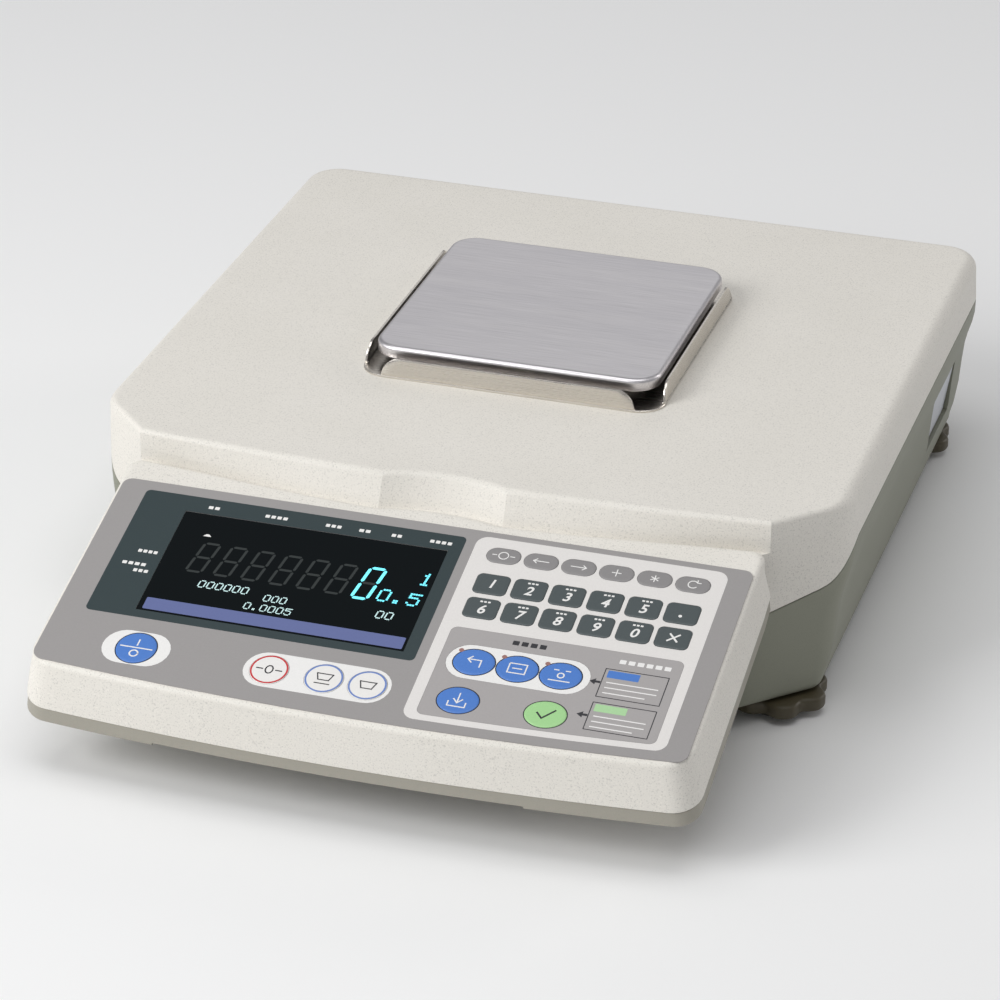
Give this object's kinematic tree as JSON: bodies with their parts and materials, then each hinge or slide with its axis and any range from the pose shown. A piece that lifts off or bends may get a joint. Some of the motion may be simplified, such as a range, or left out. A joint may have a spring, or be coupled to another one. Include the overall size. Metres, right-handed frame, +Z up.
{
  "type": "counting scale",
  "caption": "Bench counting scale: low rounded body, small square steel pan in a shallow tray, and a tilted front console with a wide dark display and a keypad, on levelling feet.",
  "frame": {"origin": "centre of the object's overall box, on the table plane under the feet", "axes": "+X to the user's right, +Y to the back, +Z up; the console faces -Y"},
  "size_m": [0.331, 0.4342, 0.1062],
  "materials": {
    "base_plastic": "fine-textured warm grey moulded plastic",
    "cover_plastic": "fine-speckled off-white moulded plastic",
    "lower_shell_plastic": "fine-textured warm grey moulded plastic",
    "overlay_film": "satin printed polyester film",
    "window": "dark tinted filter",
    "display": "dark glass envelope",
    "circuit_board": "solder-masked board",
    "flat_cable": "flexible flat cable",
    "cell_aluminium": "machined",
    "steel_screw": "plated steel",
    "pan_steel": "brushed stainless, grain left to right",
    "tray_steel": "satin stainless",
    "vial": "clear level vial with tinted liquid",
    "black_plastic": "moulded",
    "port_metal": "nickel-plated connector shell",
    "label_silver": "blank satin label plate",
    "rubber": "moulded rubber",
    "knob_plastic": "moulded dark olive plastic",
    "fn_key": "embossed grey key",
    "number_key": "embossed dark grey key",
    "blue_key": "embossed blue key",
    "green_key": "embossed green key",
    "white_key": "embossed white key with a printed ring"
  },
  "bodies": {
    "base": {"base_housing": "base_plastic", "top_cover": "cover_plastic", "console_upper_shell": "cover_plastic", "console_lower_shell": "lower_shell_plastic", "control_overlay": "overlay_film", "display_window": "window", "display_module": "display", "key_board": "circuit_board", "main_board": "circuit_board", "ribbon_cable": "flat_cable", "load_cell": "cell_aluminium", "load_cell_base": "cell_aluminium", "load_cell_screws": "steel_screw", "breeze_tray": "tray_steel", "tray_screws": "steel_screw", "level_vial": "vial", "cover_screws": "steel_screw", "console_screws": "steel_screw", "dc_jack": "black_plastic", "data_port": "port_metal", "side_label_plates": "label_silver"},
    "load_platform": {"pan_support": "cell_aluminium", "support_screws": "steel_screw", "pan_cushions": "rubber"},
    "pan": {"weighing_pan": "pan_steel"},
    "foot_rear_left": {"foot_pad_rear_left": "rubber"},
    "knob_rear_left": {"foot_knob_rear_left": "knob_plastic"},
    "foot_front_left": {"foot_pad_front_left": "rubber"},
    "knob_front_left": {"foot_knob_front_left": "knob_plastic"},
    "foot_rear_right": {"foot_pad_rear_right": "rubber"},
    "knob_rear_right": {"foot_knob_rear_right": "knob_plastic"},
    "foot_front_right": {"foot_pad_front_right": "rubber"},
    "knob_front_right": {"foot_knob_front_right": "knob_plastic"},
    "key_fn_1": {"key_fn_1": "fn_key"},
    "key_fn_2": {"key_fn_2": "fn_key"},
    "key_fn_3": {"key_fn_3": "fn_key"},
    "key_fn_4": {"key_fn_4": "fn_key"},
    "key_fn_5": {"key_fn_5": "fn_key"},
    "key_fn_6": {"key_fn_6": "fn_key"},
    "key_1": {"key_1": "number_key"},
    "key_2": {"key_2": "number_key"},
    "key_3": {"key_3": "number_key"},
    "key_4": {"key_4": "number_key"},
    "key_5": {"key_5": "number_key"},
    "key_point": {"key_point": "number_key"},
    "key_6": {"key_6": "number_key"},
    "key_7": {"key_7": "number_key"},
    "key_8": {"key_8": "number_key"},
    "key_9": {"key_9": "number_key"},
    "key_0": {"key_0": "number_key"},
    "key_clear": {"key_clear": "number_key"},
    "key_recall": {"key_recall": "blue_key"},
    "key_unit_entry": {"key_unit_entry": "blue_key"},
    "key_sample": {"key_sample": "blue_key"},
    "key_store": {"key_store": "blue_key"},
    "key_confirm": {"key_confirm": "green_key"},
    "key_power": {"key_power": "blue_key"},
    "key_zero": {"key_zero": "white_key"},
    "key_tare_set": {"key_tare_set": "white_key"},
    "key_tare": {"key_tare": "white_key"}
  },
  "joints": [
    {"name": "weighing_travel", "type": "slide", "parent": "base", "child": "load_platform", "axis": [0, 0, -1], "range_m": [0, 0.0005], "stiffness_N_per_m": 50000, "springref_m": -0.0001, "deforming": ["load_cell"]},
    {"name": "pan_lift_off", "type": "slide", "parent": "load_platform", "child": "pan", "axis": [0, 0, 1], "range_m": [0, 0.05]},
    {"name": "foot_height_rear_left", "type": "slide", "parent": "base", "child": "foot_rear_left", "axis": [0, 0, -1], "range_m": [0, 0.005]},
    {"name": "foot_turn_rear_left", "type": "hinge", "parent": "foot_rear_left", "child": "knob_rear_left", "pos_m": [-0.138, 0.189, 0.006], "axis": [0, 0, -1], "range_deg": [0, 1430]},
    {"name": "foot_height_front_left", "type": "slide", "parent": "base", "child": "foot_front_left", "axis": [0, 0, -1], "range_m": [0, 0.005]},
    {"name": "foot_turn_front_left", "type": "hinge", "parent": "foot_front_left", "child": "knob_front_left", "pos_m": [-0.138, -0.064, 0.006], "axis": [0, 0, -1], "range_deg": [0, 1430]},
    {"name": "foot_height_rear_right", "type": "slide", "parent": "base", "child": "foot_rear_right", "axis": [0, 0, -1], "range_m": [0, 0.005]},
    {"name": "foot_turn_rear_right", "type": "hinge", "parent": "foot_rear_right", "child": "knob_rear_right", "pos_m": [0.138, 0.189, 0.006], "axis": [0, 0, -1], "range_deg": [0, 1430]},
    {"name": "foot_height_front_right", "type": "slide", "parent": "base", "child": "foot_front_right", "axis": [0, 0, -1], "range_m": [0, 0.005]},
    {"name": "foot_turn_front_right", "type": "hinge", "parent": "foot_front_right", "child": "knob_front_right", "pos_m": [0.138, -0.064, 0.006], "axis": [0, 0, -1], "range_deg": [0, 1430]},
    {"name": "press_key_fn_1", "type": "slide", "parent": "base", "child": "key_fn_1", "axis": [0, 0.2723, -0.9622], "range_m": [0, 0.0004], "stiffness_N_per_m": 500, "springref_m": -0.0006},
    {"name": "press_key_fn_2", "type": "slide", "parent": "base", "child": "key_fn_2", "axis": [0, 0.2723, -0.9622], "range_m": [0, 0.0004], "stiffness_N_per_m": 500, "springref_m": -0.0006},
    {"name": "press_key_fn_3", "type": "slide", "parent": "base", "child": "key_fn_3", "axis": [0, 0.2723, -0.9622], "range_m": [0, 0.0004], "stiffness_N_per_m": 500, "springref_m": -0.0006},
    {"name": "press_key_fn_4", "type": "slide", "parent": "base", "child": "key_fn_4", "axis": [0, 0.2723, -0.9622], "range_m": [0, 0.0004], "stiffness_N_per_m": 500, "springref_m": -0.0006},
    {"name": "press_key_fn_5", "type": "slide", "parent": "base", "child": "key_fn_5", "axis": [0, 0.2723, -0.9622], "range_m": [0, 0.0004], "stiffness_N_per_m": 500, "springref_m": -0.0006},
    {"name": "press_key_fn_6", "type": "slide", "parent": "base", "child": "key_fn_6", "axis": [0, 0.2723, -0.9622], "range_m": [0, 0.0004], "stiffness_N_per_m": 500, "springref_m": -0.0006},
    {"name": "press_key_1", "type": "slide", "parent": "base", "child": "key_1", "axis": [0, 0.2723, -0.9622], "range_m": [0, 0.0004], "stiffness_N_per_m": 500, "springref_m": -0.0006},
    {"name": "press_key_2", "type": "slide", "parent": "base", "child": "key_2", "axis": [0, 0.2723, -0.9622], "range_m": [0, 0.0004], "stiffness_N_per_m": 500, "springref_m": -0.0006},
    {"name": "press_key_3", "type": "slide", "parent": "base", "child": "key_3", "axis": [0, 0.2723, -0.9622], "range_m": [0, 0.0004], "stiffness_N_per_m": 500, "springref_m": -0.0006},
    {"name": "press_key_4", "type": "slide", "parent": "base", "child": "key_4", "axis": [0, 0.2723, -0.9622], "range_m": [0, 0.0004], "stiffness_N_per_m": 500, "springref_m": -0.0006},
    {"name": "press_key_5", "type": "slide", "parent": "base", "child": "key_5", "axis": [0, 0.2723, -0.9622], "range_m": [0, 0.0004], "stiffness_N_per_m": 500, "springref_m": -0.0006},
    {"name": "press_key_point", "type": "slide", "parent": "base", "child": "key_point", "axis": [0, 0.2723, -0.9622], "range_m": [0, 0.0004], "stiffness_N_per_m": 500, "springref_m": -0.0006},
    {"name": "press_key_6", "type": "slide", "parent": "base", "child": "key_6", "axis": [0, 0.2723, -0.9622], "range_m": [0, 0.0004], "stiffness_N_per_m": 500, "springref_m": -0.0006},
    {"name": "press_key_7", "type": "slide", "parent": "base", "child": "key_7", "axis": [0, 0.2723, -0.9622], "range_m": [0, 0.0004], "stiffness_N_per_m": 500, "springref_m": -0.0006},
    {"name": "press_key_8", "type": "slide", "parent": "base", "child": "key_8", "axis": [0, 0.2723, -0.9622], "range_m": [0, 0.0004], "stiffness_N_per_m": 500, "springref_m": -0.0006},
    {"name": "press_key_9", "type": "slide", "parent": "base", "child": "key_9", "axis": [0, 0.2723, -0.9622], "range_m": [0, 0.0004], "stiffness_N_per_m": 500, "springref_m": -0.0006},
    {"name": "press_key_0", "type": "slide", "parent": "base", "child": "key_0", "axis": [0, 0.2723, -0.9622], "range_m": [0, 0.0004], "stiffness_N_per_m": 500, "springref_m": -0.0006},
    {"name": "press_key_clear", "type": "slide", "parent": "base", "child": "key_clear", "axis": [0, 0.2723, -0.9622], "range_m": [0, 0.0004], "stiffness_N_per_m": 500, "springref_m": -0.0006},
    {"name": "press_key_recall", "type": "slide", "parent": "base", "child": "key_recall", "axis": [0, 0.2723, -0.9622], "range_m": [0, 0.0004], "stiffness_N_per_m": 500, "springref_m": -0.0006},
    {"name": "press_key_unit_entry", "type": "slide", "parent": "base", "child": "key_unit_entry", "axis": [0, 0.2723, -0.9622], "range_m": [0, 0.0004], "stiffness_N_per_m": 500, "springref_m": -0.0006},
    {"name": "press_key_sample", "type": "slide", "parent": "base", "child": "key_sample", "axis": [0, 0.2723, -0.9622], "range_m": [0, 0.0004], "stiffness_N_per_m": 500, "springref_m": -0.0006},
    {"name": "press_key_store", "type": "slide", "parent": "base", "child": "key_store", "axis": [0, 0.2723, -0.9622], "range_m": [0, 0.0004], "stiffness_N_per_m": 500, "springref_m": -0.0006},
    {"name": "press_key_confirm", "type": "slide", "parent": "base", "child": "key_confirm", "axis": [0, 0.2723, -0.9622], "range_m": [0, 0.0004], "stiffness_N_per_m": 500, "springref_m": -0.0006},
    {"name": "press_key_power", "type": "slide", "parent": "base", "child": "key_power", "axis": [0, 0.2723, -0.9622], "range_m": [0, 0.0004], "stiffness_N_per_m": 500, "springref_m": -0.0006},
    {"name": "press_key_zero", "type": "slide", "parent": "base", "child": "key_zero", "axis": [0, 0.2723, -0.9622], "range_m": [0, 0.0004], "stiffness_N_per_m": 500, "springref_m": -0.0006},
    {"name": "press_key_tare_set", "type": "slide", "parent": "base", "child": "key_tare_set", "axis": [0, 0.2723, -0.9622], "range_m": [0, 0.0004], "stiffness_N_per_m": 500, "springref_m": -0.0006},
    {"name": "press_key_tare", "type": "slide", "parent": "base", "child": "key_tare", "axis": [0, 0.2723, -0.9622], "range_m": [0, 0.0004], "stiffness_N_per_m": 500, "springref_m": -0.0006}
  ],
  "couplings": [
    {"joint": "foot_height_rear_left", "follows": "foot_turn_rear_left", "m_per_rad": 0.00019894},
    {"joint": "foot_height_front_left", "follows": "foot_turn_front_left", "m_per_rad": 0.00019894},
    {"joint": "foot_height_rear_right", "follows": "foot_turn_rear_right", "m_per_rad": 0.00019894},
    {"joint": "foot_height_front_right", "follows": "foot_turn_front_right", "m_per_rad": 0.00019894}
  ]
}
